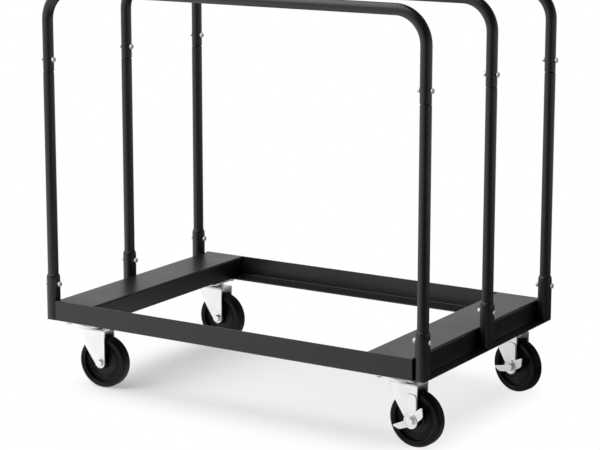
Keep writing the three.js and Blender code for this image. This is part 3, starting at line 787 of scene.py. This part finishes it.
for corner, at in casters.items():
    body = f"{corner}_caster"
    node = f"{corner}_fork"
    piece(fork_pressing(), f"{node}_pressing", zinc_plate, body, [node], at["fork"])
    piece(lower_race(), f"{node}_race", zinc_plate, body, (), at["fork"])
print("forks:", len(casters))

# %% [markdown]
# ## Wheels
# The tyre is a thick rubber ring with rounded shoulders, and the core is a plastic wheel with a rim,
# a thin web and a hub. Both are profiles spun about the axle. The tyre's radius is the height of the
# axle, so the wheel just touches the floor.

# %% Tyres and cores
WHEEL = axle.z
TYRE_BORE = 54.5
HALF_WIDTH = 16.0
HUB_HALF = 19.2
RIDGES = (35.0, 39.5, 44.0)
ALONG_AXLE = Matrix.Rotation(-math.pi / 2, 4, "X")


def mirrored(half):
    """A closed profile from its upper half, given from the bore outwards and up."""
    return half + [(radius, -height) for radius, height in reversed(half)]


def tyre():
    half = [
        (TYRE_BORE, HALF_WIDTH - 2.4), (TYRE_BORE + 1.6, HALF_WIDTH - 0.5), (WHEEL - 5, HALF_WIDTH),
        (WHEEL - 1.6, HALF_WIDTH - 2.4), (WHEEL, HALF_WIDTH - 7),
    ]
    bm = turned(mirrored(half), closed=True, steps=72)
    soften(bm, 1.8, 4, 15.0, lambda edge: min(v.co.xy.length for v in edge.verts) > WHEEL - 6)
    for face in bm.faces:
        face.material_index = int(min(v.co.xy.length for v in face.verts) > WHEEL - 1)
    return bm


def core():
    half = [(6.5, HUB_HALF), (13, HUB_HALF), (15, HUB_HALF - 1.2), (17, 6), (20, 4.6)]
    for ridge in RIDGES:
        half += [(ridge - 1.6, 4.6), (ridge - 0.6, 6.0), (ridge + 0.4, 6.0), (ridge + 1.2, 4.6)]
    half += [(49, 4.6), (51.2, 14.5), (TYRE_BORE - 0.3, 14.5)]
    bm = turned(mirrored(half), closed=True, steps=72)
    soften(bm, 0.5, 3, 24.0)
    return bm


for corner, at in casters.items():
    body = f"{corner}_wheel"
    lie = at["axle"] @ ALONG_AXLE
    ring = piece(tyre(), f"{corner}_tyre_ring", tyre_rubber, body, [f"{corner}_tyre"], lie)
    ring.data.materials.append(tread_rubber)
    piece(core(), f"{corner}_wheel_core_moulding", wheel_plastic, body,
          [f"{corner}_wheel_core"], lie)
print("wheels:", len(casters), "radius", round(WHEEL, 1), "mm")

# %% [markdown]
# ## Axles and brakes
# A long bolt carries each wheel. On the casters at the right-hand end it also carries the brake: a
# flat spring leaf against the fork and, over it, a lever with two wings to step on. The lever starts
# as a circle, whose arcs are opened for the wings, and the wings are folded a little away from the
# fork.

# %% Axles
AXLE = {"diameter": 12.5, "flats": 17.0, "head": 7.0, "nut": 9.0, "tail": 3.0, "pitch": 1.75}
BRAKE_STACK = 5.6
for corner, at in casters.items():
    stack = BRAKE_STACK if at["braked"] else 0.0
    head_near = Matrix.Rotation(math.pi / 2, 4, "X")
    bolt = through_bolt(FORK_HALF + 0.3, stack=stack, **AXLE)
    piece(bolt, f"{corner}_axle_bolt", zinc_plate, f"{corner}_caster", [f"{corner}_axle"],
          at["axle"] @ head_near)
print("axles:", len(casters))

# %% Brake leaves and levers
LEAF_EASE = 0.9
LEVER_NEAR = -29.6
LEVER_FAR = -26.6
LEVER_HUB = 18.0
DISH = (15.0, 1.4)
WING = 49.0
WING_SLANT = 14.0
WING_HALF = 10.0
LEFT_WING_TOP = 4.0
WING_CORNER = 5.0
WING_SPLAY = math.radians(8)
WING_SWEEP = math.radians(8)
LEANS = {"front_right": 31.0, "rear_right": 19.0}


def wing_outline(top):
    """The hub's circle, opened toward +X and drawn out there into a wing."""
    bm = bmesh.new()
    bmesh.ops.create_circle(bm, segments=48, radius=LEVER_HUB)
    opened = [v for v in bm.verts if -WING_HALF < v.co.y < top and v.co.x > 0]
    bmesh.ops.delete(bm, geom=opened, context="VERTS")
    low, high = sorted((v for v in bm.verts if len(v.link_edges) == 1), key=lambda v: v.co.y)
    lower = bm.verts.new((WING - WING_SLANT, -WING_HALF, 0))
    upper = bm.verts.new((WING, top, 0))
    for pair in ((low, lower), (lower, upper), (upper, high)):
        bm.edges.new(pair)
    bmesh.ops.contextual_create(bm, geom=list(bm.edges))
    bmesh.ops.bevel(
        bm, geom=[lower, upper], offset=WING_CORNER, offset_type="OFFSET", segments=6, profile=0.5,
        affect="VERTICES", material=-1,
    )
    return bm


def lever_half(top):
    """Half of a lever lying flat, with its wing folded up and swept, cut off at the middle."""
    bm = wing_outline(top)
    hinge = LEVER_HUB - 1
    bmesh.ops.bisect_plane(
        bm, geom=bm.verts[:] + bm.edges[:] + bm.faces[:], dist=1e-5,
        plane_co=(hinge, 0, 0), plane_no=(1, 0, 0),
    )
    made = bmesh.ops.extrude_face_region(bm, geom=list(bm.faces))["geom"]
    verts = [item for item in made if isinstance(item, bmesh.types.BMVert)]
    bmesh.ops.translate(bm, verts=verts, vec=(0, 0, LEVER_FAR - LEVER_NEAR))
    wing = [v for v in bm.verts if v.co.x - hinge > 1e-3]
    bmesh.ops.rotate(
        bm, verts=wing, cent=(hinge, 0, LEVER_FAR - LEVER_NEAR),
        matrix=Matrix.Rotation(-WING_SPLAY, 3, "Y"),
    )
    placed(bm, Matrix.Rotation(WING_SWEEP, 4, "Z"))
    bmesh.ops.bisect_plane(
        bm, geom=bm.verts[:] + bm.edges[:] + bm.faces[:], dist=1e-5,
        plane_co=(0, 0, 0), plane_no=(-1, 0, 0), clear_outer=True,
    )
    return bm


def lever():
    """A lever in the x-z plane, upright: two half levers welded, and the rim of the dished hub."""
    other_way = Matrix.Scale(-1, 4, (1, 0, 0))
    bm = joined(lever_half(WING_HALF), placed(lever_half(LEFT_WING_TOP), other_way))
    bmesh.ops.remove_doubles(bm, verts=bm.verts, dist=MERGE)
    bmesh.ops.recalc_face_normals(bm, faces=bm.faces)
    soften(bm, 0.6, 3, 40.0)
    bm = punched(bm, punch(AXLE_HOLE, 2 * SHEET, Matrix()))
    inner, height = DISH
    dish = turned([
        (inner - 4, 2.5), (LEVER_HUB, 2.5), (LEVER_HUB, 3.2), (LEVER_HUB - 1.4, 3 + height),
        (inner + 0.6, 3 + height), (inner - 4, 3),
    ], closed=True)
    soften(dish, 0.6, 3)
    return placed(joined(bm, dish), moved(y=LEVER_FAR) @ Matrix.Rotation(math.pi / 2, 4, "X"))


for corner, lean in LEANS.items():
    at = casters[corner]["axle"]
    leaf = f"{corner}_brake_leaf"
    piece(eased_copy(leaf, LEAF_EASE), f"{leaf}_strip", zinc_plate, f"{corner}_caster", [leaf])
    node = f"{corner}_brake_lever"
    tilt = Matrix.Rotation(math.radians(-lean), 4, "Y")
    piece(lever(), f"{node}_pressing", zinc_plate, f"{corner}_lever", [node], at @ tilt)
print("brakes:", len(LEANS))

# %% [markdown]
# ## Floor and light
# The cart stands on a plain white floor in a soft studio. Black steel shows little but what it mirrors, so the
# room matters more than the lamps: it is white on the left and falls away to dark on the right and behind the
# camera. The camera itself sees white all round, with the soft shadow kept. The floor that mirrors and bounced
# light see is painted: a painted pool of light to the left in front of the cart, painted glow far out and in a
# patch in front on the right, and painted dark under and beside the cart.

# %% Floor
FLOOR_SIZE = 60.0
FLOOR_COLOUR = grey(0.65)
FLOOR_GLOW = 0.33
SHADOW_AT = (0.0, -0.02, 0.0)
SHADOW_HALF = (0.36, 0.2, 0.0)
WHITE_FROM = (0.0, 0.22)
# Middle of the painted pool of light that mirrors and bounced light see on the floor.
PAINTED_POOL_AT = (-0.6, -0.9, 0.0)
LEFT = (-0.845, -0.535, 0.0)
AHEAD = (-0.535, 0.845, 0.0)


def ramp(start, value, low, high, first, last):
    """A smooth change from first to last while the value goes from low to high."""
    settings = {"interpolation_type": "SMOOTHSTEP"}
    values = {"Value": value, "From Min": low, "From Max": high, "To Min": first, "To Max": last}
    return start.node("MapRange", settings, values)


def towards(place, side):
    """How far a place or a direction lies to one side."""
    return place.node("VectorMath", {"operation": "DOT_PRODUCT"}, {0: place, 1: side}, out="Value")


def floor_finish():
    material, start = new_finish("studio_floor")
    camera_ray = start.node("LightPath", out="Is Camera Ray") + start.node("LightPath", out="Is Transmission Ray")
    mirror_ray = start.node("LightPath", out="Is Glossy Ray")
    place = start.node("TexCoord", out="Object")
    away = place.node("VectorMath", {"operation": "SUBTRACT"}, {0: place, 1: SHADOW_AT})
    away = away.node("VectorMath", {"operation": "ABSOLUTE"}, {0: away})
    away = away.node("VectorMath", {"operation": "SUBTRACT"}, {0: away, 1: SHADOW_HALF})
    away = away.node("VectorMath", {"operation": "MAXIMUM"}, {0: away, 1: (0.0, 0.0, 0.0)})
    away = away.node("VectorMath", {"operation": "LENGTH"}, {0: away}, out="Value")
    near_look = start.node("AddShader", {}, {
        0: start.node("BsdfDiffuse", {}, {"Color": FLOOR_COLOUR}),
        1: start.node("Emission", {}, {"Color": grey(1.0), "Strength": FLOOR_GLOW}),
    })
    white = start.node("Emission", {}, {"Color": grey(1.0), "Strength": 1.0})
    seen = start.node("MixShader", {}, {0: ramp(start, away, *WHITE_FROM, 0.0, 1.0), 1: near_look, 2: white})
    # Rays that don't come from the camera see a painted floor: a painted pool of light to the left in front of
    # the cart, grey to bounced light and glowing in mirrors, and painted black everywhere else.
    leftward = towards(place, LEFT)
    onward = towards(place, AHEAD)
    pool = place.node("VectorMath", {"operation": "DISTANCE"}, {0: place, 1: PAINTED_POOL_AT}, out="Value")
    painted_pool_light = ramp(start, pool, 0.9, 2.0, 0.8, 0.0) * ramp(start, onward, -1.5, -1.0, 0.0, 1.0)
    # Painted glow that only mirrors see: far out to the left, the right and the back, and in a patch in front on
    # the right.
    painted_right_glow = ramp(start, leftward, -1.6, -1.1, 0.5, 0.0) * ramp(start, onward, -0.6, -0.1, 1.0, 0.0)
    painted_far_glow = ramp(start, leftward, 0.9, 2.0, 0.0, 1.0) + ramp(start, leftward, -3.2, -1.8, 1.0, 0.0)
    painted_far_glow += painted_right_glow + ramp(start, onward, 0.5, 1.3, 0.0, 0.4)
    painted_reflection_floor = start.node("AddShader", {}, {
        0: start.node("BsdfDiffuse", {}, {"Color": blend(start, painted_pool_light, grey(0.0), grey(0.5))}),
        1: start.node("Emission", {}, {"Color": blend(start, mirror_ray * (painted_pool_light * 0.85 + painted_far_glow), grey(0.0), grey(1.0))}),
    })
    upper = start.node("MixShader", {}, {0: camera_ray, 1: painted_reflection_floor, 2: seen})
    clear = start.node("BsdfTransparent", {}, {})
    behind = start.node("NewGeometry", out="Backfacing")
    surface = start.node("MixShader", {}, {0: behind, 1: upper, 2: clear})
    start.node("OutputMaterial", {}, {"Surface": surface})
    return material


bm = bmesh.new()
bmesh.ops.create_grid(bm, x_segments=1, y_segments=1, size=FLOOR_SIZE / 2)
mesh = bpy.data.meshes.new("studio_floor")
bm.to_mesh(mesh)
bm.free()
mesh.materials.append(floor_finish())
floor = bpy.data.objects.new("studio_floor", mesh)
bpy.context.scene.collection.objects.link(floor)
print("floor", FLOOR_SIZE, "m square")

# %% World and lamps
ROOM_DARK = 0.06
LEFT_WALL = 1.0
RIGHT_WALL = 0.45
BACK_WALL = 0.92
WALL_TOP = (0.25, 0.55)

world = bpy.data.worlds.new("studio")
bpy.context.scene.world = world
world.use_nodes = True
world.node_tree.nodes.clear()
start = Socket(world.node_tree)
way = start.node("TexCoord", out="Generated")
sideways = towards(way, LEFT)
low = ramp(start, towards(way, (0.0, 0.0, 1.0)), *WALL_TOP, 1.0, 0.0)
room = ramp(start, sideways, -1.0, -0.45, RIGHT_WALL, 0.0)
room += ramp(start, towards(way, AHEAD), 0.55, 1.0, 0.0, BACK_WALL)
room = ROOM_DARK + low * room + ramp(start, sideways, 0.4, 0.95, 0.0, LEFT_WALL) * (0.5 + 0.5 * low)
walls = start.node("Background", {}, {"Color": grey(1.0), "Strength": room})
white = start.node("Background", {}, {"Color": grey(1.0), "Strength": 1.0})
seen = start.node("LightPath", out="Is Camera Ray") + start.node("LightPath", out="Is Transmission Ray")
start.node("OutputWorld", {}, {"Surface": start.node("MixShader", {}, {0: seen, 1: walls, 2: white})})


def softbox(name, place, aim, size, watts):
    lamp = bpy.data.lights.new(name, "AREA")
    lamp.shape = "RECTANGLE"
    lamp.size, lamp.size_y = size
    lamp.energy = watts
    made = bpy.data.objects.new(name, lamp)
    made.location = place
    made.rotation_euler = (Vector(aim) - Vector(place)).to_track_quat("-Z", "Y").to_euler()
    bpy.context.scene.collection.objects.link(made)
    return made


softbox("overhead", (-1.7, -1.0, 3.5), (0.0, 0.0, 0), (4.6, 4.2), 170)
front_fill = softbox("left_front", (-2.7, -3.4, 1.25), (0, 0, 0.3), (3.0, 2.5), 75)
front_fill.visible_glossy = False
print("lamps:", len(bpy.data.lights))

# %% [markdown]
# ## Camera
# The picture is taken from a little above deck height and well round to the right, with a long lens,
# so the posts stay close to upright. The lens is given as its length in pixels of the picture.

# %% Camera
PICTURE = 600.0
LENS_PIXELS = 1996.1
CAMERA_AT = (2.5204, -4.042, 1.4024)
YAW = 32.4326
PITCH = 10.9509
ROLL = 0.0558

data = bpy.data.cameras.new("photograph")
data.sensor_width = 36.0
data.lens = data.sensor_width * LENS_PIXELS / PICTURE
data.shift_x = 0.03
data.shift_y = -0.05
camera = bpy.data.objects.new("photograph", data)
camera.location = CAMERA_AT
camera.rotation_euler = (
    Matrix.Rotation(math.radians(YAW), 3, "Z")
    @ Matrix.Rotation(math.radians(90 - PITCH), 3, "X")
    @ Matrix.Rotation(math.radians(-ROLL), 3, "Z")
).to_euler()
bpy.context.scene.collection.objects.link(camera)
bpy.context.scene.camera = camera
bpy.context.scene.view_settings.view_transform = "Standard"
print("lens", round(data.lens, 1), "mm")
